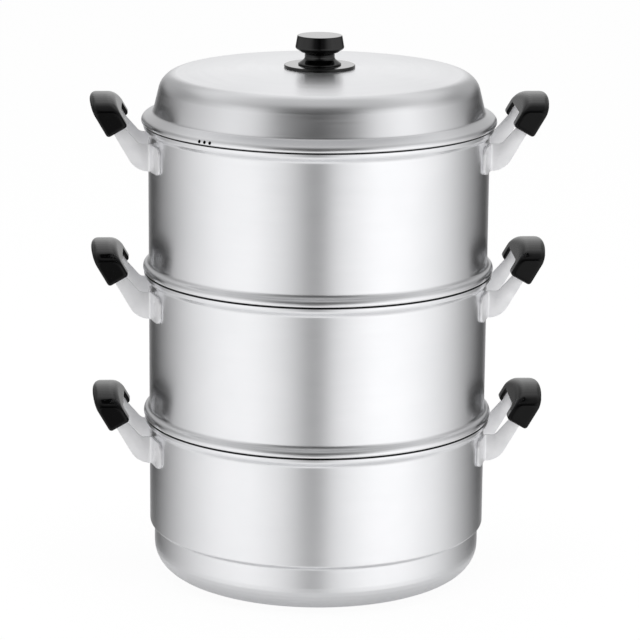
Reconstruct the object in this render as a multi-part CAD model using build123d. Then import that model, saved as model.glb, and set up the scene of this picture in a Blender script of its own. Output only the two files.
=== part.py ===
from build123d import *
import math
import os

# Three-layer steamer pot: a boiling pot, two steamer tiers and a domed lid, all pressed from
# aluminium sheet, with moulded grips on sheet brackets. Millimetres, +Z up, the origin on the
# ground under the middle of the pot, the handles on the X axis.

# The vessels' common sizes
bore_diameter = 300.0
sheet = 1.1
pot_height = 143.4
layer_pitch = 132.7

# The rim: the wall flares out to a band and ends in a folded lip
rim_overhang = 4.3
rim_flare_height = 8.2
rim_band_height = 4.2
rim_crease_radius = 3.0
rim_bend_radius = 3.6
rim_edge_radius = 1.0
lip_width = 3.0
lip_height = 3.4
lip_edge_radius = 0.6

# The pot's base and the small step low in its wall
pot_base_inset = 3.0
pot_base_corner = 23.7
pot_step_height = 43.0
pot_step_rise = 2.4
pot_step_radius = 2.2

# The foot of a tier: a bead that rests on the rim below, and a locating skirt inside that rim
foot_overhang = 1.2
foot_taper = 0.7
foot_edge_radius = 2.6
foot_bead_height = 8.2
foot_bead_shoulder = 2.4
foot_bend_radius = 4.2
skirt_clearance = 1.4
skirt_depth = 14.0
skirt_root_radius = 1.5
floor_corner = 6.0

# The perforated floor of a tier
steam_hole_diameter = 8.0
steam_field_share = 0.8
steam_ring_count = 5
steam_ring_share = 6

# The lid
lid_band_overlap = 1.8
lid_edge_radius = 2.2
lid_band_height = 5.0
lid_shoulder_radius = 4.4
lid_shoulder_top = 10.2
lid_skirt_inset = 3.3
lid_crease_radius = 2.5
lid_brow_inset = 8.0
lid_brow_drop = 5.9
lid_corner_radius = 17.0
lid_seat_height = 48.5
lid_seat_margin = 1.6
lid_seat_radius = 300.0
lid_crown_drop = 1.3
lid_crown_break_share = 0.678
lid_crown_radius_share = 3.6
lid_lip_depth = 8.0

# The row of small steam holes in the lid's band
vent_diameter = 3.0
vent_height = 3.1
vent_count = 3
vent_bearing = 229.0
vent_bearing_step = 2.1

# The lid's knob, its base plate and what holds them
plate_diameter = 62.8
plate_thickness = 2.6
plate_edge_radius = 0.9
knob_height = 25.8
knob_top_diameter = 39.6
knob_brow_diameter = 43.4
knob_brow_height = 14.6
knob_brow_radius = 2.0
knob_top_radius = 0.8
knob_under_height = 11.3
knob_under_diameter = 34.0
knob_under_radius = 2.5
knob_neck_diameter = 26.6
knob_neck_height = 10.2
knob_neck_radius = 1.5
knob_flare_height = 5.2
knob_flare_radius = 2.5
knob_foot_diameter = 38.0
knob_foot_rise = 1.2
knob_foot_radius = 0.6
knob_insert_diameter = 9.0
knob_insert_length = 12.0
knob_screw_diameter = 5.0
knob_screw_reach = 9.0
knob_screw_head_diameter = 9.5
knob_screw_head_height = 3.2
knob_washer_diameter = 16.0
knob_washer_thickness = 1.2
screw_clearance = 0.25
fit_clearance = 0.05
head_edge_radius = 0.8
recess_width = 1.2
recess_depth = 1.4

# The brackets: a strap bent from flat aluminium, its arms standing out from the wall
strap_thickness = 2.0
arm_spread = 66.0
arm_drop = 14.2
arm_height = 24.1
arm_upper_reach = 11.3
arm_lower_reach = 14.3
arm_upper_bend = 6.0
arm_lower_bend = 19.4
arm_lift_angle = 60.0
arm_upper_angle = 48.3
arm_width = 11.0
flange_span = 114.0
flange_corner = 6.5
flange_bend = 2.5
weld_gap = 0.08
bridge_bend = 3.0
weld_dimple_radius = 4.2
weld_dimple_depth = 0.5
weld_dimple_inset = 6.5

# The grips: moulded, with a leg over each arm of the bracket and a bar between them
grip_width = 82.0
grip_inner_cover = 3.7
grip_outer_cover = 5.8
grip_crown_drop = 7.0
grip_crown_steps = 5
grip_foot_lift = 38.4
grip_top_height = 25.8
grip_inner_round = 10.0
grip_outer_round = 4.2
grip_foot_round = 2.6
grip_shoulder_length = 11.0
grip_shoulder_drop = 4.0
grip_end_steps = 9
grip_edge_round = 2.2
grip_notch_width = 54.0
grip_notch_depth = 12.0
grip_notch_round = 4.0
grip_channel_clearance = 0.25
grip_insert_diameter = 6.5
grip_insert_length = 8.0
grip_screw_diameter = 4.0
grip_screw_reach = 6.0
grip_screw_head_diameter = 7.6
grip_screw_head_height = 2.6

# Sizes that only serve cuts
overrun = 60.0

bore_radius = bore_diameter / 2
wall_radius = bore_radius + sheet
rim_radius = wall_radius + rim_overhang
base_radius = bore_radius - pot_base_inset
skirt_radius = bore_radius - skirt_clearance
foot_radius = rim_radius + foot_overhang
steam_ring_pitch = bore_radius * steam_field_share / steam_ring_count
lid_band_radius = rim_radius + lid_band_overlap
lid_skirt_radius = bore_radius - lid_skirt_inset
lid_brow_radius = lid_skirt_radius - lid_brow_inset
lid_seat_edge = plate_diameter / 2 + lid_seat_margin
lid_crown_break = lid_brow_radius * lid_crown_break_share
lid_crown_radius = lid_brow_radius * lid_crown_radius_share
os.makedirs("parts", exist_ok=True)


def rounded_face(corners):
    """A flat face from corners given as x, y and the radius that rounds them."""
    points = [(x, y) for x, y, radius in corners]
    radii = [radius for x, y, radius in corners]
    return make_face(FilletPolyline(*points, radius=radii, close=True))


def turned(section):
    """The solid that a section in radius and height sweeps round the Z axis."""
    return revolve(Plane.XZ * section, axis=Axis.Z)


def pressed_section(corners, mouth_rise):
    """The section of one pressed sheet, from its outer outline.

    The outline runs from the axis to the edge of the mouth. A copy of the outline that reaches
    past the axis and past the mouth is shrunk by the sheet's thickness and cut out.
    """
    first = corners[0]
    last = corners[-1]
    outer = rounded_face(corners + [(0, last[1], 0)])
    mouth = last[1] + mouth_rise
    reach = [(-overrun, first[1], 0)] + corners[1:-1]
    reach = reach + [(last[0], mouth, 0), (-overrun, mouth, 0)]
    return outer - offset(rounded_face(reach), amount=-sheet)


def rim_corners(height):
    """The flared rim's outer outline, up to its top edge at the given height."""
    crease = height - rim_flare_height
    band = height - rim_band_height
    return [
        (wall_radius, crease, rim_crease_radius),
        (rim_radius, band, rim_bend_radius),
        (rim_radius, height, rim_edge_radius),
    ]


def with_lip(section, height):
    """Adds the folded lip inside the rim."""
    inside = rim_radius - lip_width
    outside = rim_radius - rim_edge_radius
    foot = height - lip_height
    lip = rounded_face([
        (inside, foot, lip_edge_radius),
        (outside, foot, 0),
        (outside, height, 0),
        (inside, height, lip_edge_radius),
    ])
    return section + lip


def pot_shell():
    """The boiling pot: flat base, large base corner, a step low in the wall, flared rim."""
    corners = [
        (0, 0, 0),
        (base_radius, 0, pot_base_corner),
        (base_radius, pot_step_height - pot_step_rise / 2, pot_step_radius),
        (wall_radius, pot_step_height + pot_step_rise / 2, pot_step_radius),
    ]
    corners = corners + rim_corners(pot_height)
    return turned(with_lip(pressed_section(corners, overrun), pot_height))


def tier_floor_holes(seat):
    """The steam holes of a tier's floor, in rings about the middle."""
    floor_under = seat - skirt_depth
    drill = Cylinder(steam_hole_diameter / 2, overrun)
    holes = [Pos(0, 0, floor_under) * drill]
    for ring in range(1, steam_ring_count + 1):
        copies = steam_ring_share * ring
        places = PolarLocations(ring * steam_ring_pitch, copies)
        holes += [Pos(0, 0, floor_under) * place * drill for place in places]
    return holes


def tier_shell(seat):
    """A steamer tier that rests at the height of the seat, with a floor inside the rim below."""
    corners = [
        (0, seat - skirt_depth, 0),
        (skirt_radius, seat - skirt_depth, floor_corner),
        (skirt_radius, seat, skirt_root_radius),
        (foot_radius, seat, foot_edge_radius),
        (foot_radius - foot_taper, seat + foot_bead_height - foot_bead_shoulder, foot_bend_radius),
        (wall_radius, seat + foot_bead_height, foot_bend_radius),
    ]
    height = seat + layer_pitch
    corners = corners + rim_corners(height)
    shell = turned(with_lip(pressed_section(corners, overrun), height))
    return shell - tier_floor_holes(seat)


def lid_shell(seat):
    """The lid: a crown with a flat seat for the knob, a tapered skirt, a shoulder and a band."""
    top = seat + lid_seat_height
    corners = [
        (0, top, 0),
        (lid_seat_edge, top, lid_seat_radius),
        (lid_crown_break, top - lid_crown_drop, lid_crown_radius),
        (lid_brow_radius, top - lid_brow_drop, lid_corner_radius),
        (lid_skirt_radius, seat + lid_shoulder_top, lid_crease_radius),
        (lid_band_radius, seat + lid_band_height, lid_shoulder_radius),
        (lid_band_radius, seat, lid_edge_radius),
        (skirt_radius, seat, skirt_root_radius),
        (skirt_radius, seat - lid_lip_depth, 0),
    ]
    shell = turned(pressed_section(corners, -overrun))
    vent = Pos(lid_band_radius, 0, seat + vent_height) * Rot(0, 90, 0) * Cylinder(
        vent_diameter / 2, sheet * 6
    )
    middle = (vent_count - 1) / 2
    for index in range(vent_count):
        bearing = vent_bearing + (index - middle) * vent_bearing_step
        shell -= Rot(0, 0, bearing) * vent
    bolt_hole = Cylinder(knob_screw_diameter / 2 + screw_clearance, overrun)
    return shell - Pos(0, 0, top) * bolt_hole


def pan_head_screw(diameter, length, head_diameter, head_height):
    """A screw with its head's seat at the origin, its shank along +Z and a cross recess below."""
    head_radius = head_diameter / 2
    half = rounded_face([
        (0, -head_height, 0),
        (head_radius, -head_height, head_edge_radius),
        (head_radius, 0, 0),
        (0, 0, 0),
    ])
    screw = turned(half) + Cylinder(
        diameter / 2, length, align=(Align.CENTER, Align.CENTER, Align.MIN)
    )
    arm = head_diameter / 2
    slot = Pos(0, 0, -head_height) * Box(arm, recess_width, recess_depth)
    return screw - slot - Rot(0, 0, 90) * slot


def threaded_insert(diameter, length, bore):
    """A sleeve with its open end at the origin, standing along +Z."""
    sleeve = Cylinder(diameter / 2, length, align=(Align.CENTER, Align.CENTER, Align.MIN))
    return sleeve - Cylinder(bore / 2 + fit_clearance, overrun)


def lid_knob_set(seat):
    """The knob, its base plate, the insert, and the screw and washer inside the lid."""
    plate_seat = seat + lid_seat_height
    knob_seat = plate_seat + plate_thickness
    plate = turned(rounded_face([
        (0, plate_seat, 0),
        (plate_diameter / 2, plate_seat, 0),
        (plate_diameter / 2, knob_seat, plate_edge_radius),
        (0, knob_seat, 0),
    ]))
    plate -= Pos(0, 0, plate_seat) * Cylinder(knob_screw_diameter / 2 + screw_clearance, overrun)
    knob = turned(rounded_face([
        (0, knob_seat, 0),
        (knob_foot_diameter / 2, knob_seat, 0),
        (knob_foot_diameter / 2, knob_seat + knob_foot_rise, knob_foot_radius),
        (knob_neck_diameter / 2, knob_seat + knob_flare_height, knob_flare_radius),
        (knob_neck_diameter / 2, knob_seat + knob_neck_height, knob_neck_radius),
        (knob_under_diameter / 2, knob_seat + knob_under_height, knob_under_radius),
        (knob_brow_diameter / 2, knob_seat + knob_brow_height, knob_brow_radius),
        (knob_top_diameter / 2, knob_seat + knob_height, knob_top_radius),
        (0, knob_seat + knob_height, 0),
    ]))
    insert = Pos(0, 0, knob_seat) * threaded_insert(
        knob_insert_diameter, knob_insert_length, knob_screw_diameter
    )
    socket = Cylinder(
        knob_insert_diameter / 2 + fit_clearance,
        knob_insert_length,
        align=(Align.CENTER, Align.CENTER, Align.MIN),
    )
    knob -= Pos(0, 0, knob_seat) * socket
    inside = plate_seat - sheet
    washer_seat = inside - knob_washer_thickness
    washer = Pos(0, 0, washer_seat) * Cylinder(
        knob_washer_diameter / 2, knob_washer_thickness, align=(Align.CENTER, Align.CENTER, Align.MIN)
    )
    washer -= Pos(0, 0, washer_seat) * Cylinder(knob_screw_diameter / 2 + screw_clearance, overrun)
    length = knob_seat + knob_screw_reach - washer_seat
    screw = Pos(0, 0, washer_seat) * pan_head_screw(
        knob_screw_diameter, length, knob_screw_head_diameter, knob_screw_head_height
    )
    return {
        "lid_knob": knob,
        "lid_knob_plate": plate,
        "lid_knob_insert": insert,
        "lid_knob_washer": washer,
        "lid_knob_screw": screw,
    }


# The handle's own frame, on the +X side, with heights measured from the rim that carries it.
# Its two tilted directions run along the arm (lift) and square to it, away from the pot (depth),
# from the corner where the straight lower edges of the arm would meet.
lift_x = math.cos(math.radians(arm_lift_angle))
lift_z = math.sin(math.radians(arm_lift_angle))
arm_root = math.sqrt(wall_radius ** 2 - (arm_spread / 2) ** 2)
arm_corner = (arm_root + arm_lower_reach, -arm_drop - arm_height)
bridge_lift = grip_foot_lift + grip_notch_depth
far = rim_radius + overrun


def tilted(lift, depth):
    """The x and z of a point given along the arm and square to it."""
    return (
        arm_corner[0] + lift * lift_x + depth * lift_z,
        arm_corner[1] + lift * lift_z - depth * lift_x,
    )


def lift_at(height, depth):
    """How far along the arm a line at the given depth reaches the given height."""
    return (height - arm_corner[1] + depth * lift_x) / lift_z


def tilted_plane():
    """The plane that holds Y and the direction along the arm, seen from the pot."""
    return Plane(
        origin=(arm_corner[0], 0, arm_corner[1]),
        x_dir=(0, 1, 0),
        z_dir=(lift_z, 0, -lift_x),
    )


def tilted_block(face, depth_from, depth_to):
    """A face drawn across and along the arm, thickened from one depth to another."""
    plane = tilted_plane().offset(depth_from)
    return extrude(plane * face, amount=depth_to - depth_from)


def along_side(face, half_width):
    """A side view in x and z, thickened both ways along Y."""
    return extrude(Plane.XZ * face, amount=half_width, both=True)


def screw_place():
    """Where the grip's screw stands: under the middle of the bridge, pointing into the grip."""
    seat = tilted(bridge_lift, -arm_width / 2)
    return Plane(origin=(seat[0], 0, seat[1]), x_dir=(0, 1, 0), z_dir=(lift_x, 0, lift_z)).location


def arm_side_view():
    """The side view of an arm: level at the wall, then swept up and out and narrower."""
    upper_x = arm_root + arm_upper_reach
    slope = math.radians(arm_upper_angle)
    start = tilted(0, -arm_width)
    gap_x = start[0] - upper_x
    gap_z = start[1] + arm_drop
    run = (gap_x * lift_z - gap_z * lift_x) / math.sin(math.radians(arm_lift_angle) - slope)
    meet = (upper_x + run * math.cos(slope), -arm_drop + run * math.sin(slope))
    top = bridge_lift + strap_thickness
    top_outer = tilted(top, 0)
    top_inner = tilted(top, -arm_width)
    inside = bore_radius - overrun
    return rounded_face([
        (inside, -arm_drop - arm_height, 0),
        (arm_corner[0], arm_corner[1], arm_lower_bend),
        (top_outer[0], top_outer[1], 0),
        (top_inner[0], top_inner[1], 0),
        (meet[0], meet[1], arm_upper_bend),
        (upper_x, -arm_drop, arm_upper_bend),
        (inside, -arm_drop, 0),
    ])


def bent_flange(hand):
    """One arm and its flange seen from above, bent from one strap, as tall as need be."""
    half_spread = arm_spread / 2
    inner_radius = wall_radius + weld_gap
    outer_radius = inner_radius + strap_thickness
    tall = overrun * 2
    arm = Pos(far / 2, hand * (half_spread - strap_thickness / 2), 0) * Box(
        far, strap_thickness, tall
    )
    reach = flange_span / 2 - half_spread + strap_thickness
    window = Pos(far / 2, hand * (flange_span - reach) / 2, 0) * Box(far, reach, tall)
    ring = Cylinder(outer_radius, tall) - Cylinder(inner_radius, tall)
    strap = arm - Cylinder(inner_radius, tall) + (ring & window)
    back = half_spread - strap_thickness
    front_root = (math.sqrt(outer_radius ** 2 - half_spread ** 2), hand * half_spread, 0)
    back_root = (math.sqrt(inner_radius ** 2 - back ** 2), hand * back, 0)
    front_edge = strap.edges().filter_by(Axis.Z).sort_by_distance(front_root)[0]
    strap = fillet(front_edge, flange_bend)
    back_edge = strap.edges().filter_by(Axis.Z).sort_by_distance(back_root)[0]
    return fillet(back_edge, flange_bend + strap_thickness)


def strap_bracket():
    """The bracket: two flanges on the wall, two arms, and a bridge under the grip's bar."""
    half_spread = arm_spread / 2
    side = along_side(arm_side_view(), half_spread)
    flange_face = rounded_face([
        (-flange_span / 2, -arm_drop - arm_height, flange_corner),
        (flange_span / 2, -arm_drop - arm_height, flange_corner),
        (flange_span / 2, -arm_drop, flange_corner),
        (-flange_span / 2, -arm_drop, flange_corner),
    ])
    flanges = extrude(Plane.YZ * flange_face, amount=arm_root + arm_upper_reach / 2)
    middle = bridge_lift / 2
    below = Rectangle(far, far, align=(Align.CENTER, Align.MAX))
    lower = tilted_block(Pos(0, middle) * below, -far, far) & (side + flanges)
    lower = lower & (bent_flange(1) + bent_flange(-1))
    top = bridge_lift + strap_thickness
    outside = rounded_face([
        (-half_spread, middle, 0),
        (-half_spread, top, bridge_bend + strap_thickness),
        (half_spread, top, bridge_bend + strap_thickness),
        (half_spread, middle, 0),
    ])
    inner_half = half_spread - strap_thickness
    hollow = rounded_face([
        (-inner_half, middle - overrun, 0),
        (-inner_half, bridge_lift, bridge_bend),
        (inner_half, bridge_lift, bridge_bend),
        (inner_half, middle - overrun, 0),
    ])
    upper = tilted_block(outside - hollow, -overrun, overrun) & side
    bracket = lower + upper
    bracket -= screw_place() * Cylinder(grip_screw_diameter / 2 + screw_clearance, strap_thickness * 4)
    return bracket - weld_dimples()


def weld_dimples():
    """The small dents that the spot welds leave, two on each flange."""
    surface = wall_radius + weld_gap + strap_thickness
    middle = (arm_spread + flange_span) / 4
    bearing = math.degrees(math.asin(middle / surface))
    upper = -arm_drop - weld_dimple_inset
    lower = -arm_drop - arm_height + weld_dimple_inset
    ball = Sphere(weld_dimple_radius)
    reach = surface + weld_dimple_radius - weld_dimple_depth
    dents = []
    for hand in (1, -1):
        for height in (upper, lower):
            dents.append(Rot(0, 0, hand * bearing) * Pos(reach, 0, height) * ball)
    return dents


def rounding(distance, length, depth):
    """How far a quarter-ellipse edge has drawn in, at a distance from the end of its length."""
    share = max(0, 1 - distance / length)
    return depth * (1 - math.sqrt(1 - share ** 2))


def grip_section(place):
    """The grip's section in x and z, at a place along its width."""
    half_width = grip_width / 2
    distance = half_width - place
    side_inset = rounding(distance, grip_edge_round, grip_edge_round)
    top_inset = rounding(distance, grip_shoulder_length, grip_shoulder_drop)
    crown = grip_crown_drop * (place / half_width) ** 2
    inner = -arm_width - grip_inner_cover + side_inset
    outer = grip_outer_cover - side_inset
    foot = grip_foot_lift + side_inset
    top = grip_top_height - crown - top_inset
    return rounded_face([
        (*tilted(foot, inner), grip_foot_round),
        (*tilted(foot, outer), grip_foot_round),
        (*tilted(lift_at(top, outer), outer), grip_outer_round),
        (*tilted(lift_at(top, inner), inner), grip_inner_round),
    ])


def grip_places():
    """Where the grip's sections stand on one side of its middle, closer together at the end."""
    shoulder = grip_width / 2 - grip_shoulder_length
    places = [shoulder * step / grip_crown_steps for step in range(1, grip_crown_steps)]
    for step in range(grip_end_steps + 1):
        turn = math.radians(90 * step / grip_end_steps)
        places.append(shoulder + grip_shoulder_length * math.sin(turn))
    return places


def moulded_grip():
    """The grip: a bar with a leg at each end, and a channel underneath for the bracket."""
    slices = [Plane.XZ * grip_section(0)]
    for place in grip_places():
        slices.append(Plane.XZ.offset(-place) * grip_section(place))
        slices.insert(0, Plane.XZ.offset(place) * grip_section(place))
    body = loft(slices, ruled=True)
    half_notch = grip_notch_width / 2
    notch = rounded_face([
        (-half_notch, 0, 0),
        (-half_notch, bridge_lift, grip_notch_round),
        (half_notch, bridge_lift, grip_notch_round),
        (half_notch, 0, 0),
    ])
    body -= tilted_block(notch, -overrun, overrun)
    half_channel = arm_spread / 2 + grip_channel_clearance
    ceiling = bridge_lift + strap_thickness + grip_channel_clearance
    channel = rounded_face([
        (-half_channel, 0, 0),
        (-half_channel, ceiling, 0),
        (half_channel, ceiling, 0),
        (half_channel, 0, 0),
    ])
    body -= tilted_block(channel, -arm_width - grip_channel_clearance, grip_channel_clearance)
    socket = Cylinder(
        grip_insert_diameter / 2 + fit_clearance,
        strap_thickness + grip_channel_clearance + grip_insert_length,
        align=(Align.CENTER, Align.CENTER, Align.MIN),
    )
    return body - screw_place() * socket


def grip_fixings():
    """The screw that holds the bridge to the grip, and the insert that it turns into."""
    above = strap_thickness + grip_channel_clearance
    screw = pan_head_screw(
        grip_screw_diameter,
        above + grip_screw_reach,
        grip_screw_head_diameter,
        grip_screw_head_height,
    )
    insert = Pos(0, 0, above) * threaded_insert(
        grip_insert_diameter, grip_insert_length, grip_screw_diameter
    )
    return screw_place() * screw, screw_place() * insert


def both_sides(shape, height):
    """A handle piece on the right, and its mirror image on the left, at a rim's height."""
    right = Pos(0, 0, height) * shape
    return right, mirror(right, about=Plane.YZ)


rim_of_pot = pot_height
rim_of_lower_tier = rim_of_pot + layer_pitch
rim_of_upper_tier = rim_of_lower_tier + layer_pitch
nodes = {
    "pot_shell": pot_shell(),
    "lower_tier_shell": tier_shell(rim_of_pot),
    "upper_tier_shell": tier_shell(rim_of_lower_tier),
    "lid_shell": lid_shell(rim_of_upper_tier),
}
nodes.update(lid_knob_set(rim_of_upper_tier))
bracket = strap_bracket()
grip = moulded_grip()
screw, insert = grip_fixings()
rims = {"pot": rim_of_pot, "lower_tier": rim_of_lower_tier, "upper_tier": rim_of_upper_tier}
for vessel, height in rims.items():
    nodes[f"{vessel}_right_bracket"], nodes[f"{vessel}_left_bracket"] = both_sides(bracket, height)
    nodes[f"{vessel}_right_grip"], nodes[f"{vessel}_left_grip"] = both_sides(grip, height)
    nodes[f"{vessel}_grip_screws"] = Compound(both_sides(screw, height))
    nodes[f"{vessel}_grip_inserts"] = Compound(both_sides(insert, height))
for name, shape in nodes.items():
    export_step(shape, f"parts/{name}.step")
print(len(nodes), "nodes")
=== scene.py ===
# %% [markdown]
# # A stacking steamer: a pot, two steamer tiers and a lid
# The real thing is pressed from satin aluminium sheet, with a black knob and six black grips that
# stand on bent straps. The imported CAD model is the frame that everything here is fitted to.

# %% Load the frame
import math
import bmesh
import bpy
from mathutils import Matrix, Vector


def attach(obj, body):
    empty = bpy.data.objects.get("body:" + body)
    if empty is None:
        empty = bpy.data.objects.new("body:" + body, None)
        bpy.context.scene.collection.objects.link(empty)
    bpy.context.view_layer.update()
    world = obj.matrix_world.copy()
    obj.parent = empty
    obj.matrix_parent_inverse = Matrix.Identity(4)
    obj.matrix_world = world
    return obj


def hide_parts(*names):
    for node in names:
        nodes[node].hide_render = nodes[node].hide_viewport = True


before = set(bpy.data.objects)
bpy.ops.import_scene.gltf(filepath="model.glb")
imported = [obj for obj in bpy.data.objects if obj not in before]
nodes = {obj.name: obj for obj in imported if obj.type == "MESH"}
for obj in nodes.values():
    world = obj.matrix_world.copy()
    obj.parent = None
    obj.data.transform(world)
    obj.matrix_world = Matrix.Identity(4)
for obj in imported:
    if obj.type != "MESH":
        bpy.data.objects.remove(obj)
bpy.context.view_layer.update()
MM = 0.001

# %% [markdown]
# ## The sizes of the set
# These are the CAD model's own sizes in millimetres, repeated here because this script reads only
# the frame. Heights are counted from the ground. The materials need some of them too, because the
# shade of the seams is painted where one piece stands on the next. The skirts of the tiers and the lip of
# the lid share one radius, since they drop inside the same rims.

# %% The sizes of the set
SHEET = 1.1
WALL = 151.1
RIM = 155.4
SKIRT = 148.6
POT_HEIGHT = 143.4
LAYER_PITCH = 132.7
LID_SEAT = POT_HEIGHT + 2 * LAYER_PITCH
print("the rims are at", [round(POT_HEIGHT + LAYER_PITCH * level, 1) for level in range(3)])

# %% [markdown]
# ## Helpers for colours and shader nodes
# Colours are written as the sRGB hex of a paint chart, and one function turns them into the linear
# values that a shader works in. A second function adds a shader node, sets it and links it, so that
# each material below can be read as a list of its layers. A third starts a material.

# %% Helpers for colours and shader nodes
def linear(hex_colour):
    """The linear red, green, blue and alpha of an sRGB hex colour."""
    channels = [int(hex_colour[i:i + 2], 16) / 255 for i in (1, 3, 5)]
    return [c / 12.92 if c <= 0.04045 else ((c + 0.055) / 1.055) ** 2.4 for c in channels] + [1.0]


def add(tree, kind, settings=(), links=()):
    """Adds a node. A setting is an attribute or a socket's value, a link feeds a socket."""
    node = tree.nodes.new(kind)
    for name, value in dict(settings).items():
        if isinstance(name, str) and hasattr(node, name):
            setattr(node, name, value)
        else:
            node.inputs[name].default_value = value
    for name, source in dict(links).items():
        tree.links.new(source, node.inputs[name])
    return node


def start_material(name):
    """A new material, its node tree, and the output that is the only node in it."""
    material = bpy.data.materials.new(name)
    material.use_nodes = True
    material.node_tree.nodes.clear()
    return material, material.node_tree, add(material.node_tree, "ShaderNodeOutputMaterial")


print("mid grey #808080 is", round(linear("#808080")[0], 3), "linear")

# %% [markdown]
# ## The rings of the spinning
# The vessels are drawn from aluminium sheet and then spun against fine abrasive, and that leaves
# rings round the axis. An image of a brushed surface could show them, but a noise drawn from the
# distance along the wall follows the turned shape everywhere. That distance is taken as the height
# plus a share of the radius, so that it changes on upright walls and on flat floors alike. Round the
# axis the noise moves only a few millimetres, so each ring wanders a little. The real rings are
# about 0.2 mm apart, finer than a pixel, so they are drawn 1.4 mm apart and very shallow.

# %% The rings of the spinning
RING_SPACING = 1.4 * MM
RING_WANDER = 3.5 * MM
RADIUS_SHARE = 0.7


def spinning_rings(tree, flat, radius, height):
    """A noise that changes along the wall and hardly at all round the axis."""
    along = add(tree, "ShaderNodeMath", {"operation": "MULTIPLY_ADD", 1: RADIUS_SHARE}, {
        0: radius, 2: height})
    spoke = add(tree, "ShaderNodeVectorMath", {"operation": "NORMALIZE"}, {0: flat})
    around = add(tree, "ShaderNodeVectorMath", {"operation": "SCALE", "Scale": RING_WANDER}, {
        0: spoke.outputs[0]})
    around_xy = add(tree, "ShaderNodeSeparateXYZ", (), {0: around.outputs[0]})
    ring_place = add(tree, "ShaderNodeCombineXYZ", (), {
        "X": along.outputs[0], "Y": around_xy.outputs["X"], "Z": around_xy.outputs["Y"]})
    rings = add(tree, "ShaderNodeTexNoise", {"Scale": 1 / RING_SPACING, "Detail": 1.5}, {
        "Vector": ring_place.outputs[0]})
    return rings.outputs["Fac"]


print("rings every", RING_SPACING / MM, "mm")

# %% [markdown]
# ## The painted shade in the seams
# Where one piece stands on the next, the groove at the outer edge of the seam falls in shade, and
# that shade is painted into the metal's colour. It could be a thin dark ring of mesh, but it is a
# mask in the material, from two measures: the height above or below the nearest seam, and the
# distance from the axis. Each pair says where the painted shade starts to fade and where it ends.

# %% The painted shade in the seams
# The colour, heights and radii below paint shade into the metal where the seams' grooves fall dark.
SEAM_SHADE_COLOUR = "#2c2c2e"
SEAM_SHADE_HEIGHT = (0.7 * MM, 1.1 * MM)
SEAM_SHADE_RADIUS = ((RIM - 2.2) * MM, (RIM - 1.4) * MM)


def painted_seam_shade(tree, radius, height):
    """A mask of painted shade that is one at the outer edge of each seam and nought elsewhere."""
    above_rim = add(tree, "ShaderNodeMath", {"operation": "SUBTRACT", 1: POT_HEIGHT * MM}, {0: height})
    from_seam = add(tree, "ShaderNodeMath", {"operation": "PINGPONG", 1: LAYER_PITCH / 2 * MM}, {
        0: above_rim.outputs[0]})
    near_seam = add(tree, "ShaderNodeMapRange", {
        "From Min": SEAM_SHADE_HEIGHT[0], "From Max": SEAM_SHADE_HEIGHT[1], "To Min": 1.0, "To Max": 0.0}, {
        "Value": from_seam.outputs[0]})
    at_edge = add(tree, "ShaderNodeMapRange", {
        "From Min": SEAM_SHADE_RADIUS[0], "From Max": SEAM_SHADE_RADIUS[1]}, {"Value": radius})
    seam_shade = add(tree, "ShaderNodeMath", {"operation": "MULTIPLY"}, {
        0: near_seam.outputs[0], 1: at_edge.outputs[0]})
    return seam_shade.outputs[0]


print("smut reaches", round(SEAM_SHADE_HEIGHT[1] / MM, 1), "mm up and down from a seam")

# %% [markdown]
# ## Satin spun aluminium
# The rings spread a reflection across themselves, so the real wall shows soft upright bands. A plain
# rough metal would blur them the same in all directions. Here the highlight is drawn out across the
# rings: the shader's tangent runs round the axis and is turned a quarter. A slow noise lets the tone
# drift a little, and the rings change the roughness and give a shallow bump.

# %% Satin spun aluminium
CLOUD_SIZE = 45 * MM
SATIN_SPREAD = 0.02
NOISE_SPAN = {"From Min": 0.3, "From Max": 0.7}


def spun_aluminium(name, light, dark, roughness):
    """Aluminium with rings round Z, a slow change of tone and painted shade in the seams."""
    material, tree, output = start_material(name)
    place = add(tree, "ShaderNodeTexCoord").outputs["Object"]
    flat = add(tree, "ShaderNodeVectorMath", {"operation": "MULTIPLY", 1: (1, 1, 0)}, {0: place}).outputs[0]
    radius = add(tree, "ShaderNodeVectorMath", {"operation": "LENGTH"}, {0: flat}).outputs["Value"]
    height = add(tree, "ShaderNodeSeparateXYZ", (), {0: place}).outputs["Z"]
    rings = spinning_rings(tree, flat, radius, height)
    cloud = add(tree, "ShaderNodeTexNoise", {"Scale": 1 / CLOUD_SIZE, "Detail": 3.0}, {"Vector": place})
    tone = add(tree, "ShaderNodeMix", {"data_type": "RGBA", 6: linear(light), 7: linear(dark)}, {
        0: cloud.outputs["Fac"]})
    # The seams' painted shade darkens the base colour here.
    seam_shaded = add(tree, "ShaderNodeMix", {"data_type": "RGBA", 7: linear(SEAM_SHADE_COLOUR)}, {
        0: painted_seam_shade(tree, radius, height), 6: tone.outputs[2]})
    satin = add(tree, "ShaderNodeMapRange", {
        **NOISE_SPAN, "To Min": roughness - SATIN_SPREAD, "To Max": roughness + SATIN_SPREAD}, {
        "Value": rings})
    relief = add(tree, "ShaderNodeBump", {"Strength": 0.05, "Distance": 0.1 * MM}, {"Height": rings})
    tangent = add(tree, "ShaderNodeVectorMath", {"operation": "CROSS_PRODUCT", 0: (0, 0, 1)}, {1: place})
    turned = add(tree, "ShaderNodeVectorTransform", {
        "vector_type": "VECTOR", "convert_from": "OBJECT", "convert_to": "WORLD"}, {
        0: tangent.outputs[0]})
    shader = add(tree, "ShaderNodeBsdfPrincipled", {
        "Metallic": 1.0, "Anisotropic": 0.5, "Anisotropic Rotation": 0.25}, {
        "Base Color": seam_shaded.outputs[2], "Roughness": satin.outputs[0],
        "Normal": relief.outputs[0], "Tangent": turned.outputs[0]})
    tree.links.new(shader.outputs[0], output.inputs["Surface"])
    return material


vessel_metal = spun_aluminium("satin_spun_aluminium", "#eeeef0", "#e6e7e9", 0.3)
print("made", vessel_metal.name)

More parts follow.
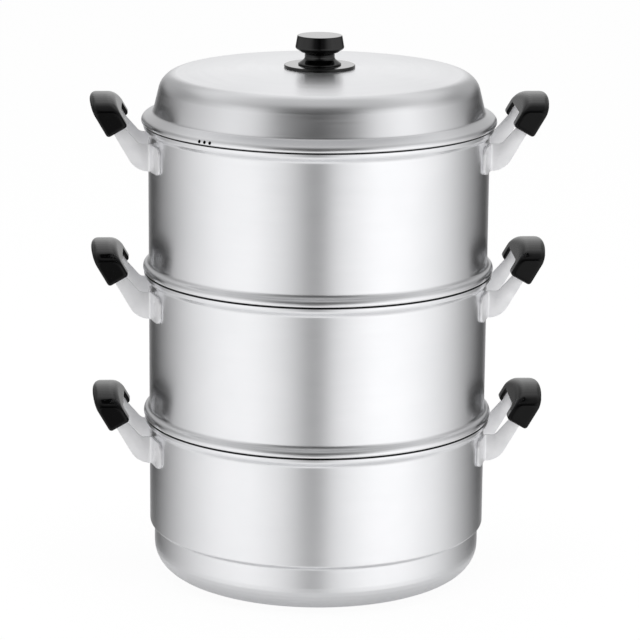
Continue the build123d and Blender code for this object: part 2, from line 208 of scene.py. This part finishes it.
# %% [markdown]
# ## A grained surface
# The other finishes have no rings: tumbled metal, moulded resin, plated steel and turned brass. Each
# could have a material of its own, but all are one base, a soft noise in the tone and the gloss and
# a shallow bump. So one function makes them, from a grain size. The tone drifts over a dozen grains.

# %% A grained surface
GRAINS_PER_DRIFT = 12


def grained(name, light, dark, gloss, grain, relief_depth, finish):
    """A surface whose tone and roughness drift, with a bump of the given grain size."""
    material, tree, output = start_material(name)
    place = add(tree, "ShaderNodeTexCoord").outputs["Object"]
    drift = add(tree, "ShaderNodeTexNoise", {"Scale": 1 / (GRAINS_PER_DRIFT * grain), "Detail": 3.0}, {
        "Vector": place})
    pits = add(tree, "ShaderNodeTexNoise", {"Scale": 1 / grain, "Detail": 2.0}, {"Vector": place})
    tone = add(tree, "ShaderNodeMix", {"data_type": "RGBA", 6: linear(light), 7: linear(dark)}, {
        0: drift.outputs["Fac"]})
    satin = add(tree, "ShaderNodeMapRange", {**NOISE_SPAN, "To Min": gloss[0], "To Max": gloss[1]}, {
        "Value": drift.outputs["Fac"]})
    relief = add(tree, "ShaderNodeBump", {"Strength": 0.3, "Distance": relief_depth}, {
        "Height": pits.outputs["Fac"]})
    shader = add(tree, "ShaderNodeBsdfPrincipled", finish, {
        "Base Color": tone.outputs[2], "Roughness": satin.outputs[0], "Normal": relief.outputs[0]})
    tree.links.new(shader.outputs[0], output.inputs["Surface"])
    print("made", name)
    return material


# %% [markdown]
# ## The finish of the straps, the knob, the grips and the fittings
# The straps are tumbled in a drum of ceramic chips, which leaves a frosty, pitted skin. The pits are
# 0.3 mm wide on the real strap and are drawn at 0.9 mm, so that they show. The grips and the knob are
# phenolic resin, pressed in a polished mould: black and glossy, with the faint waviness that is
# called orange peel. The knob still has the thin waxy film of the mould, a coat in the shader, and
# the grips have lost it to hands and dishcloths. The fittings are bright zinc plate and turned brass.

# %% The finish of the straps, the knob, the grips and the fittings
METAL = {"Metallic": 1.0}
FROSTED = {"Metallic": 0.85}
WAXED_RESIN = {"IOR": 1.35, "Coat Weight": 0.8, "Coat IOR": 1.3, "Coat Roughness": 0.05}
HANDLED_RESIN = {"IOR": 1.28}
RESIN_TONES = ("#070707", "#050506")
ORANGE_PEEL = (2.5 * MM, 0.01 * MM)

strap_metal = grained("tumbled_aluminium", "#fafafb", "#eeeef0", (0.52, 0.62), 0.9 * MM, 0.04 * MM, FROSTED)
phenolic = grained("moulded_black_phenolic", *RESIN_TONES, (0.07, 0.12), *ORANGE_PEEL, WAXED_RESIN)
handled = grained("handled_black_phenolic", *RESIN_TONES, (0.09, 0.15), *ORANGE_PEEL, HANDLED_RESIN)
zinc = grained("bright_zinc_plate", "#c9ccd0", "#b6babf", (0.22, 0.32), 0.5 * MM, 0.01 * MM, METAL)
brass = grained("turned_brass", "#cda55e", "#b98f49", (0.24, 0.34), 0.4 * MM, 0.01 * MM, METAL)

# %% [markdown]
# ## Finishing a piece
# Each piece starts as a bmesh. This helper turns it into an object, applies the modifiers that
# finish it, shades it smooth except at real edges, and fits it into the frame: it rides on its CAD
# body, stands for its CAD nodes and gets its material. The modifiers are applied
# here, so that nothing is live.

# %% Finishing a piece
def finish_piece(bm, name, body, material, replaced, modifiers=(), crease=35):
    """Makes an object of a bmesh, with its modifiers applied and its place in the frame."""
    mesh = bpy.data.meshes.new(name)
    bm.to_mesh(mesh)
    bm.free()
    piece = bpy.data.objects.new(name, mesh)
    bpy.context.scene.collection.objects.link(piece)
    for kind, settings in modifiers:
        modifier = piece.modifiers.new(kind.lower(), kind)
        for key, value in settings.items():
            setattr(modifier, key, value)
    shaped = piece.evaluated_get(bpy.context.evaluated_depsgraph_get())
    piece.data = bpy.data.meshes.new_from_object(shaped)
    piece.modifiers.clear()
    bpy.data.meshes.remove(mesh)
    piece.data.name = name
    piece.data.materials.clear()
    piece.data.materials.append(material)
    piece.data.shade_smooth()
    piece.data.set_sharp_from_angle(angle=math.radians(crease))
    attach(piece, body)
    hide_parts(*replaced)
    size = [round(high - low, 4) for low, high in zip(*mesh_box(piece.data))]
    print(name, "polygons", len(piece.data.polygons), "size", size)


def mesh_box(mesh):
    """The lowest and the highest corner of a mesh."""
    places = [vertex.co for vertex in mesh.vertices]
    return [Vector(pick(place[axis] for place in places) for axis in range(3)) for pick in (min, max)]


# %% [markdown]
# ## A turned wall from an outline
# A pressed vessel is the same all round, so it could be a lathe curve or a screw modifier. Here its
# outer outline is a wire of corner points. A vertex bevel rounds each corner to its press radius,
# and the wire is spun once round the axis. Two extra points near the ends of each long straight
# keep the smooth shading of a bend from leaking into the flat beside it. Each outline below is a
# list of named corners, and a corner is its radius, its height above the piece's seat and its
# rounding, all in millimetres.

# %% A turned wall from an outline
SPIN_STEPS = 192
BEND_STEP = 10.0
FEWEST_BEND_STEPS = 3
HOLD = 0.8 * MM
LONG_STRAIGHT = 5 * HOLD
WELD = 0.01 * MM


def raised(corners, seat):
    """The corners of an outline as a list, lifted to the height of their seat."""
    return [(radius, seat + height, rounding) for radius, height, rounding in corners.values()]


def turned_wall(corners):
    """Spins an outline of radius, height and rounding in millimetres into a wall with no thickness."""
    bm = bmesh.new()
    points = [bm.verts.new((radius * MM, 0, height * MM)) for radius, height, rounding in corners]
    for start, end in zip(points, points[1:]):
        bm.edges.new((start, end))
    places = [point.co.copy() for point in points]
    for index in range(1, len(corners) - 1):
        rounding = corners[index][2] * MM
        if rounding:
            turn = (places[index] - places[index - 1]).angle(places[index + 1] - places[index])
            steps = max(FEWEST_BEND_STEPS, round(math.degrees(turn) / BEND_STEP))
            bmesh.ops.bevel(bm, geom=[points[index]], offset=rounding * math.tan(turn / 2),
                            affect="VERTICES", segments=steps, profile=0.5, material=-1)
    for edge in [edge for edge in bm.edges if edge.calc_length() > LONG_STRAIGHT]:
        length = edge.calc_length()
        far_end = edge.verts[1]
        held = bmesh.utils.edge_split(edge, edge.verts[0], HOLD / length)[1]
        rest = [part for part in held.link_edges if far_end in part.verts][0]
        bmesh.utils.edge_split(rest, far_end, HOLD / (length - HOLD))
    bmesh.ops.spin(bm, geom=bm.verts[:] + bm.edges[:], cent=(0, 0, 0), axis=(0, 0, 1),
                   angle=math.tau, steps=SPIN_STEPS, use_merge=True)
    bmesh.ops.remove_doubles(bm, verts=bm.verts[:], dist=WELD)
    return bm


def face_outwards(bm):
    """Turns the faces of a wall so that its widest upright face points away from the axis."""
    bmesh.ops.recalc_face_normals(bm, faces=bm.faces[:])
    upright = max(bm.faces, key=lambda face: face.calc_area() * (1 - abs(face.normal.z)))
    if upright.normal.dot(upright.calc_center_median()) < 0:
        bmesh.ops.reverse_faces(bm, faces=bm.faces[:])
    return bm


# %% [markdown]
# ## The rim that all three vessels share
# The wall flares out to a narrow band and its edge is folded inwards, so the outline goes over the
# top and a little way down inside. The CAD model has one solid lip there. The sheet's thickness is
# added afterwards by one modifier with the same settings for every pressed piece.

# %% The rim
RIM_CORNERS = {
    "foot of the flare": (WALL, -8.2, 3.0),
    "foot of the band": (RIM, -4.2, 3.6),
    "top of the band": (RIM, 0.0, 1.0),
    "fold": (RIM - 3.0, 0.0, 1.0),
    "edge of the sheet": (RIM - 3.0, -3.4, 0),
}
THICKEN = ("SOLIDIFY", {"thickness": SHEET * MM, "offset": -1.0, "use_even_offset": True})
print("a rim's outline has", len(RIM_CORNERS), "corners")

# %% [markdown]
# ## The boiling pot
# The pot is drawn in one piece: a flat base, a large base corner, a small step low in the wall and
# the flared rim. Its outline is spun and then thickened inwards by the sheet's 1.1 mm.

# %% The boiling pot
POT_CORNERS = {
    "middle of the base": (0, 0, 0),
    "base corner": (147.0, 0, 23.7),
    "foot of the step": (147.0, 41.8, 2.2),
    "top of the step": (WALL, 44.2, 2.2),
}
finish_piece(
    face_outwards(turned_wall(raised(POT_CORNERS, 0) + raised(RIM_CORNERS, POT_HEIGHT))),
    "boiling_pot", "pot", vessel_metal, ["pot_shell"], [THICKEN])

# %% [markdown]
# ## The holes of a steaming floor
# The floor of a tier is punched with 91 holes: one in the middle, and five rings that each have six
# more than the ring before. Boolean cuts would do it, but the floor is flat, so it is filled once
# between its own edge and the holes' circles, and the thickness that is added afterwards gives every
# hole its wall.

# %% The holes of a steaming floor
HOLE_RADIUS = 4.0
HOLE_PITCH = 24.0
HOLE_RINGS = 5
HOLES_MORE_PER_RING = 6
CIRCLE_STEPS = 24


def punch_floor(bm, edge_of_floor, floor):
    """Fills the floor inside its edge, round the circles of the holes."""
    holes = [(0, 0)]
    for ring in range(1, HOLE_RINGS + 1):
        count = HOLES_MORE_PER_RING * ring
        holes += [(HOLE_PITCH * ring, math.tau * step / count) for step in range(count)]
    edges = list(edge_of_floor)
    for radius, bearing in holes:
        place = Matrix.Rotation(bearing, 4, "Z") @ Matrix.Translation((radius * MM, 0, floor * MM))
        circle = bmesh.ops.create_circle(bm, segments=CIRCLE_STEPS, radius=HOLE_RADIUS * MM, matrix=place)
        edges += list({edge for vertex in circle["verts"] for edge in vertex.link_edges})
    bmesh.ops.triangle_fill(bm, edges=edges, use_beauty=True, normal=(0, 0, -1))
    print("a floor with", len(holes), "holes at", round(floor, 1))


# %% [markdown]
# ## The steamer tiers
# A tier is drawn like the pot, with a rounded foot that sits on the rim below and a narrower skirt
# that drops inside it. Both tiers are the same pressing, so one could be a linked copy of the other,
# moved up. They are made twice instead, so that the heights in both meshes are counted from the
# ground, as the painted shade in the seams needs them.

# %% The steamer tiers
FLOOR_EDGE = 141.0
FLOOR_DROP = 14.0
TIER_CORNERS = {
    "edge of the floor": (FLOOR_EDGE, -FLOOR_DROP, 0),
    "foot of the skirt": (SKIRT, -FLOOR_DROP, 6.0),
    "top of the skirt": (SKIRT, 0.0, 1.5),
    "edge of the foot": (156.6, 0.0, 2.6),
    "top of the foot": (155.9, 5.8, 4.2),
    "foot of the wall": (WALL, 8.2, 4.2),
}


def steamer_tier(name, seat):
    """A tier whose foot rests at the given height."""
    bm = turned_wall(raised(TIER_CORNERS, seat) + raised(RIM_CORNERS, seat + LAYER_PITCH))
    edge_of_floor = [edge for edge in bm.edges if edge.is_boundary
                     and edge.verts[0].co.xy.length < (FLOOR_EDGE + SHEET) * MM]
    punch_floor(bm, edge_of_floor, seat - FLOOR_DROP)
    finish_piece(face_outwards(bm), name, name.removesuffix("_wall"),
                 vessel_metal, [name.replace("_wall", "_shell")], [THICKEN])


steamer_tier("lower_tier_wall", POT_HEIGHT)
steamer_tier("upper_tier_wall", POT_HEIGHT + LAYER_PITCH)

# %% [markdown]
# ## The drill for the steam holes
# Three small steam holes are drilled in the lid's band, side by side. They go through a curved wall,
# so they can't be filled round like the floors' holes, and are cut with a boolean instead. Its tool
# is one mesh of three short cylinders that point away from the axis.

# %% The drill for the steam holes
BAND = 157.2
VENT_HEIGHT = 3.1
VENT_RADIUS = 1.5
VENT_BEARINGS = (226.9, 229.0, 231.1)
DRILL_LENGTH = 6 * SHEET


def steam_hole_drill():
    """An object with one cylinder for each steam hole."""
    bm = bmesh.new()
    for bearing in VENT_BEARINGS:
        place = (Matrix.Rotation(math.radians(bearing), 4, "Z")
                 @ Matrix.Translation((BAND * MM, 0, (LID_SEAT + VENT_HEIGHT) * MM))
                 @ Matrix.Rotation(math.radians(90), 4, "Y"))
        bmesh.ops.create_cone(bm, cap_ends=True, segments=CIRCLE_STEPS, radius1=VENT_RADIUS * MM,
                              radius2=VENT_RADIUS * MM, depth=DRILL_LENGTH * MM, matrix=place)
    mesh = bpy.data.meshes.new("drill")
    bm.to_mesh(mesh)
    bm.free()
    tool = bpy.data.objects.new("drill", mesh)
    bpy.context.scene.collection.objects.link(tool)
    return tool


drill = steam_hole_drill()
print("a drill for", len(VENT_BEARINGS), "holes")

# %% [markdown]
# ## The lid
# The lid's crown is almost flat, falls to a rounded brow and runs down a slightly tapered skirt to a
# shoulder and an upright band. A short lip under the band drops inside the rim. It is turned like
# the vessels, and the knob's screw hole is simply where the outline starts. The two large roundings
# make the crown one slow curve.

# %% The lid
LID_HEIGHT = 48.5
SCREW_HOLE = 2.75
LID_CORNERS = {
    "screw hole": (SCREW_HOLE, LID_HEIGHT, 0),
    "edge of the knob's seat": (33.0, LID_HEIGHT, 300.0),
    "middle of the crown": (94.0, 47.2, 500.0),
    "brow": (138.7, 42.6, 17.0),
    "shoulder": (146.7, 10.2, 2.5),
    "top of the band": (BAND, 5.0, 4.4),
    "foot of the band": (BAND, 0.0, 2.2),
    "top of the lip": (SKIRT, 0.0, 1.5),
    "foot of the lip": (SKIRT, -8.0, 0),
}
finish_piece(
    face_outwards(turned_wall(raised(LID_CORNERS, LID_SEAT))),
    "lid_dome", "lid", vessel_metal, ["lid_shell"],
    [THICKEN, ("BOOLEAN", {"operation": "DIFFERENCE", "object": drill, "solver": "MANIFOLD"})])
bpy.data.objects.remove(drill)

# %% [markdown]
# ## The knob and its plate
# The knob is a moulded button with a waisted neck, screwed down on a black plate that spreads the
# load. Both are turned shapes, closed all round, so they need no thickness added. The knob's outline
# goes round its socket too, where the brass insert sits.

# %% The knob and its plate
PLATE_SEAT = LID_SEAT + LID_HEIGHT
PLATE_RADIUS = 31.4
PLATE_HEIGHT = 2.6
KNOB_SEAT = PLATE_SEAT + PLATE_HEIGHT
SOCKET_RADIUS = 4.55
SOCKET_DEPTH = 12.0
KNOB_HEIGHT = 25.8
KNOB_CORNERS = {
    "end of the socket": (0, SOCKET_DEPTH, 0),
    "wall of the socket": (SOCKET_RADIUS, SOCKET_DEPTH, 0),
    "mouth of the socket": (SOCKET_RADIUS, 0.0, 0),
    "edge of the base": (19.0, 0.0, 0.4),
    "top of the base": (19.0, 1.2, 0.6),
    "foot of the neck": (13.3, 5.2, 2.5),
    "top of the neck": (13.3, 10.2, 1.5),
    "underside of the button": (17.0, 11.3, 2.5),
    "widest place": (21.7, 14.6, 2.0),
    "edge of the top": (19.8, KNOB_HEIGHT, 0.8),
    "middle of the top": (0, KNOB_HEIGHT, 0),
}
PLATE_CORNERS = {
    "hole from below": (SCREW_HOLE, 0.0, 0),
    "lower edge": (PLATE_RADIUS, 0.0, 0.3),
    "upper edge": (PLATE_RADIUS, PLATE_HEIGHT, 0.9),
    "hole from above": (SCREW_HOLE, PLATE_HEIGHT, 0),
    "back at the start": (SCREW_HOLE, 0.0, 0),
}
for outline, seat, name, node in ((KNOB_CORNERS, KNOB_SEAT, "lid_button", "lid_knob"),
                                  (PLATE_CORNERS, PLATE_SEAT, "lid_button_plate", "lid_knob_plate")):
    finish_piece(face_outwards(turned_wall(raised(outline, seat))),
                 name, "lid", phenolic, [node])
print("the plate sits at", round(PLATE_SEAT, 1), "and the knob on it at", round(KNOB_SEAT, 1))

# %% [markdown]
# ## The straps
# A strap is bent from 2 mm aluminium, and the CAD model holds its shape already. It could be drawn
# again as a bent ribbon, but it has to meet the wall and the screw exactly where the CAD strap does.
# The CAD mesh is loose triangles, which would shine in facets, so a copy is merged, its flat
# triangles are dissolved and its sheared edges are eased by 0.3 mm.

# %% The straps
FLAT_WITHIN = math.radians(0.5)
SHEARED_FROM = math.radians(40)
EASING = ("BEVEL", {"width": 0.3 * MM, "segments": 2, "limit_method": "ANGLE",
                    "angle_limit": SHEARED_FROM, "harden_normals": False})


def merged_copy(node):
    """A bmesh copy of a CAD node with its loose triangles joined."""
    bm = bmesh.new()
    bm.from_mesh(nodes[node].data)
    bmesh.ops.remove_doubles(bm, verts=bm.verts[:], dist=WELD / 2)
    return bm


def strap(vessel, side):
    """The bent strap that carries one grip."""
    bm = merged_copy(f"{vessel}_{side}_bracket")
    bmesh.ops.dissolve_limit(bm, angle_limit=FLAT_WITHIN, verts=bm.verts[:], edges=bm.edges[:])
    finish_piece(bm, f"{vessel}_{side}_strap", vessel, strap_metal,
                 [f"{vessel}_{side}_bracket"], [EASING], crease=50)


# %% [markdown]
# ## The grips
# A grip is moulded round the arms of its strap, and no edge of it is sharp. A bevel could ease the
# edges of the CAD mesh, but the facets of its curves have many edges that the real grip hasn't. A
# merged copy is remeshed into even small quads and smoothed instead, which gives it the soft edges
# of a polished mould. The loop then makes each strap with its grip.

# %% The grips
EVEN_QUADS = ("REMESH", {"mode": "VOXEL", "voxel_size": 0.8 * MM})
POLISHING = ("SMOOTH", {"factor": 0.5, "iterations": 5})


def handgrip(vessel, side):
    """The black grip on one strap, smooth everywhere."""
    finish_piece(merged_copy(f"{vessel}_{side}_grip"), f"{vessel}_{side}_handgrip", vessel,
                 handled, [f"{vessel}_{side}_grip"], [EVEN_QUADS, POLISHING],
                 crease=180)


for vessel in ("pot", "lower_tier", "upper_tier"):
    for side in ("left", "right"):
        strap(vessel, side)
        handgrip(vessel, side)

# %% [markdown]
# ## The fittings
# Screws, washer and inserts keep their CAD nodes, since their shapes are right, and get the better
# materials through their own slots.

# %% The fittings
for name, node in nodes.items():
    if node.hide_render:
        continue
    finish = brass if "insert" in name else zinc
    for material_slot in node.material_slots:
        material_slot.material = finish
    print(name, "is", finish.name)

# %% [markdown]
# ## The camera
# It stands where the photographer stood: about 2.6 m away, a little left of the middle and 14 degrees
# above, on a long lens, so the tiers hardly get smaller towards the base. It is placed in metres,
# turned towards the pot, dipped below level and rolled by half a degree, as the photo is.

# %% The camera
LENS = 168.99
SENSOR_WIDTH = 36.0
CAMERA_PLACE = (-0.13502, -2.6184, 0.8724)
CAMERA_TURN = math.radians(-3)
CAMERA_DIP = 0.2410
CAMERA_ROLL = 0.0085

camera_data = bpy.data.cameras.new("camera")
camera_data.lens = LENS
camera_data.sensor_width = SENSOR_WIDTH
camera = bpy.data.objects.new("camera", camera_data)
camera.matrix_world = (
    Matrix.Translation(CAMERA_PLACE)
    @ Matrix.Rotation(CAMERA_TURN, 4, "Z")
    @ Matrix.Rotation(math.pi / 2 - CAMERA_DIP, 4, "X")
    @ Matrix.Rotation(CAMERA_ROLL, 4, "Z"))
bpy.context.scene.collection.objects.link(camera)
bpy.context.scene.camera = camera
print("camera at", [round(value, 3) for value in camera.location])

# %% [markdown]
# ## The light panels round the object
# Satin metal shows what stands round it. A photographer would set up tall light panels at both sides
# and leave darker gaps between them. Area lamps could stand for the panels, but their soft edges are
# easier to write down than to light. Here each ring of panels is a list of bearings in degrees,
# counted from the camera's side, with the brightness at each. One ring is what the upright walls
# reflect, below eye level, one is for the lid's skirt, above it, one for its brow, higher still, and
# one is the ceiling. Each ring takes over from the one below between two heights, where 0 is level
# and 1 is straight up.

# %% The light panels round the object
LOW_PANELS = [
    (-180, 0.8), (-168, 0.55), (-156, 0.05), (-143, 0.06), (-120, 0.4), (-95, 0.8), (-70, 1.08),
    (-45, 1.18), (-25, 0.98), (-12, 0.64), (-6, 0.3), (3, 0.3), (8, 0.78), (14, 0.98), (24, 1.14),
    (40, 1.32), (65, 1.22), (90, 0.95), (120, 0.4), (143, 0.06), (156, 0.05), (168, 0.55), (180, 0.8)]
HIGH_PANELS = [
    (-180, 1.1), (-172, 0.9), (-164, 0.45), (-146, 0.42), (-120, 0.3), (-95, 0.55), (-65, 0.9),
    (-45, 0.75), (-26, 0.12), (0, 0.02), (22, 0.1), (42, 0.8), (65, 1.1), (95, 0.65), (120, 0.3),
    (146, 0.42), (164, 0.45), (172, 0.9), (180, 1.1)]
UPPER_PANELS = [
    (-180, 0.9), (-158, 0.85), (-120, 0.78), (-80, 0.6), (-53, 0.45), (-23, 0.2), (0, 0.16),
    (20, 0.2), (52, 0.5), (80, 0.6), (120, 0.78), (158, 0.85), (180, 0.9)]
CEILING = [(-180, 0.58), (180, 0.58)]
PANEL_RINGS = (
    (LOW_PANELS, -0.7, -0.3),
    (HIGH_PANELS, 0.0, 0.22),
    (UPPER_PANELS, 0.48, 0.7),
    (CEILING, 0.82, 0.95),
)
print("stops in each ring of panels:", [len(stops) for stops, low, high in PANEL_RINGS])

# %% [markdown]
# ## The studio as a world
# The world's own nodes make the studio. A radial gradient gives the bearing, each ring of panels is
# a colour ramp over it, and the rings are mixed by height, starting from the pale table below. The
# gradient starts a quarter turn off, and the camera stands 2.95 degrees left of the middle, so the
# whole studio is turned by both. The camera itself sees almost plain white.

# %% The studio as a world
TABLE = (0.95, 0.95, 0.95, 1.0)
BACKDROP = (0.985, 0.985, 0.985, 1.0)
STUDIO_TURN = math.radians(92.95)
FULL_TURN = 360

world = bpy.data.worlds.new("studio")
world.use_nodes = True
sky = world.node_tree
sky.nodes.clear()
direction = add(sky, "ShaderNodeTexCoord").outputs["Generated"]
facing = add(sky, "ShaderNodeMapping", {"Rotation": (0, 0, STUDIO_TURN)}, {"Vector": direction})
bearing = add(sky, "ShaderNodeTexGradient", {"gradient_type": "RADIAL"}, {"Vector": facing.outputs[0]})
height = add(sky, "ShaderNodeSeparateXYZ", (), {0: direction}).outputs["Z"]
room = None
for stops, low, high in PANEL_RINGS:
    ramp = add(sky, "ShaderNodeValToRGB", (), {"Fac": bearing.outputs["Fac"]})
    bands = ramp.color_ramp.elements
    for angle, level in stops[1:-1]:
        bands.new(0.5 + angle / FULL_TURN)
    for band, (angle, level) in zip(bands, stops):
        band.position = 0.5 + angle / FULL_TURN
        band.color = (level, level, level, 1.0)
    share = add(sky, "ShaderNodeMapRange", {
        "interpolation_type": "SMOOTHSTEP", "From Min": low, "From Max": high}, {"Value": height})
    below = {6: room.outputs[2]} if room else {}
    room = add(sky, "ShaderNodeMix", {"data_type": "RGBA", 6: TABLE}, {
        0: share.outputs[0], 7: ramp.outputs["Color"], **below})
seen = add(sky, "ShaderNodeMix", {"data_type": "RGBA", 7: BACKDROP}, {
    0: add(sky, "ShaderNodeLightPath").outputs["Is Camera Ray"], 6: room.outputs[2]})
background = add(sky, "ShaderNodeBackground", (), {"Color": seen.outputs[2]})
add(sky, "ShaderNodeOutputWorld", (), {"Surface": background.outputs[0]})
bpy.context.scene.world = world
bpy.context.scene.view_settings.view_transform = "Standard"
print("the studio has", len(sky.nodes), "nodes")

# %% [markdown]
# ## The lamp
# One wide soft lamp hangs overhead and gives the object its faint shadow. The metal doesn't show it,
# because the panels are already drawn as the photo's reflections need them.

# %% The lamp
LAMP_SIDE = 1.4
LAMP_WATTS = 14.0
LAMP_PLACE = (0, -0.2, 2.4)

lamp_data = bpy.data.lights.new("overhead_softbox", "AREA")
lamp_data.shape = "SQUARE"
lamp_data.size = LAMP_SIDE
lamp_data.energy = LAMP_WATTS
lamp = bpy.data.objects.new("overhead_softbox", lamp_data)
lamp.location = LAMP_PLACE
lamp.visible_glossy = False
bpy.context.scene.collection.objects.link(lamp)
print("lamp", lamp_data.energy, "W")

# %% [markdown]
# ## The paper on the floor
# The floor is a sheet of pale paper. The camera sees it almost as white as the background, with only
# a share of its light coming from the lamp, so that the shadow stays. Reflections see the paper near
# the pot, where the pot's own shade darkens it, and further out they look through it to the panels:
# a ramp over the distance from the axis, in metres, says how much of it they look through.

# %% The paper on the floor
FLOOR_HALF = 8.0
PAPER_FADE = ((0.155, 0.0), (0.19, 0.85), (0.5, 1.0))
PAPER_GREY = (0.6, 0.6, 0.6, 1.0)
PAPER_LIFT = 0.3
SEEN_GLOW = 0.93
SEEN_GREY = (0.1, 0.1, 0.1, 1.0)
WHITE = (1.0, 1.0, 1.0, 1.0)


def pale_paper():
    """Paper that is almost white to the camera and fades out for reflections."""
    material, tree, output = start_material("pale_paper")
    rays = add(tree, "ShaderNodeLightPath")
    place = add(tree, "ShaderNodeTexCoord").outputs["Object"]
    from_axis = add(tree, "ShaderNodeVectorMath", {"operation": "LENGTH"}, {0: place})
    fade = add(tree, "ShaderNodeValToRGB", (), {"Fac": from_axis.outputs["Value"]})
    stops = fade.color_ramp.elements
    stops.new(0.5)
    for stop, (distance, share) in zip(stops, PAPER_FADE):
        stop.position = distance
        stop.color = (share, share, share, 1.0)
    passed = add(tree, "ShaderNodeMath", {"operation": "MULTIPLY"}, {
        0: rays.outputs["Is Glossy Ray"], 1: fade.outputs["Color"]})
    white = add(tree, "ShaderNodeBsdfDiffuse", {"Color": PAPER_GREY})
    lift = add(tree, "ShaderNodeEmission", {"Color": WHITE, "Strength": PAPER_LIFT})
    lit = add(tree, "ShaderNodeAddShader", (), {0: white.outputs[0], 1: lift.outputs[0]})
    glow = add(tree, "ShaderNodeEmission", {"Color": WHITE, "Strength": SEEN_GLOW})
    shaded = add(tree, "ShaderNodeBsdfDiffuse", {"Color": SEEN_GREY})
    seen_paper = add(tree, "ShaderNodeAddShader", (), {0: glow.outputs[0], 1: shaded.outputs[0]})
    through = add(tree, "ShaderNodeBsdfTransparent")
    mirrored = add(tree, "ShaderNodeMixShader", (), {
        0: passed.outputs[0], 1: lit.outputs[0], 2: through.outputs[0]})
    mixed = add(tree, "ShaderNodeMixShader", (), {
        0: rays.outputs["Is Camera Ray"], 1: mirrored.outputs[0], 2: seen_paper.outputs[0]})
    tree.links.new(mixed.outputs[0], output.inputs["Surface"])
    return material


floor_bm = bmesh.new()
bmesh.ops.create_grid(floor_bm, x_segments=1, y_segments=1, size=FLOOR_HALF)
floor_mesh = bpy.data.meshes.new("floor")
floor_bm.to_mesh(floor_mesh)
floor_bm.free()
floor_mesh.materials.append(pale_paper())
floor = bpy.data.objects.new("floor", floor_mesh)
bpy.context.scene.collection.objects.link(floor)
print("floor", [round(side, 2) for side in floor.dimensions])
